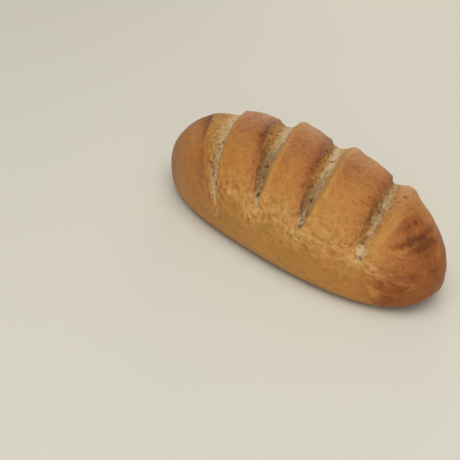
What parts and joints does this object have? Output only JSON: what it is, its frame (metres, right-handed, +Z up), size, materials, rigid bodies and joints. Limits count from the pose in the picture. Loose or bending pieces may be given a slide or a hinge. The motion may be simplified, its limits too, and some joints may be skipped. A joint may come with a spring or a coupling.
{
  "type": "half-white loaf of bread",
  "caption": "Oval half-white bread loaf, whole and uncut, with slanting baker's slashes across its rounded top, lying on its flat base.",
  "frame": {"origin": "middle of the loaf's outline, on the surface its flat base rests on", "axes": "+X along the loaf's length, +Y across its width, +Z up through the slashed crust"},
  "size_m": [0.28, 0.1208, 0.0802],
  "materials": {
    "crust": "golden-brown baked crust, matt to faintly satin, with paler torn crumb in the slashes"
  },
  "bodies": {
    "root": {"loaf": "crust"}
  },
  "joints": []
}
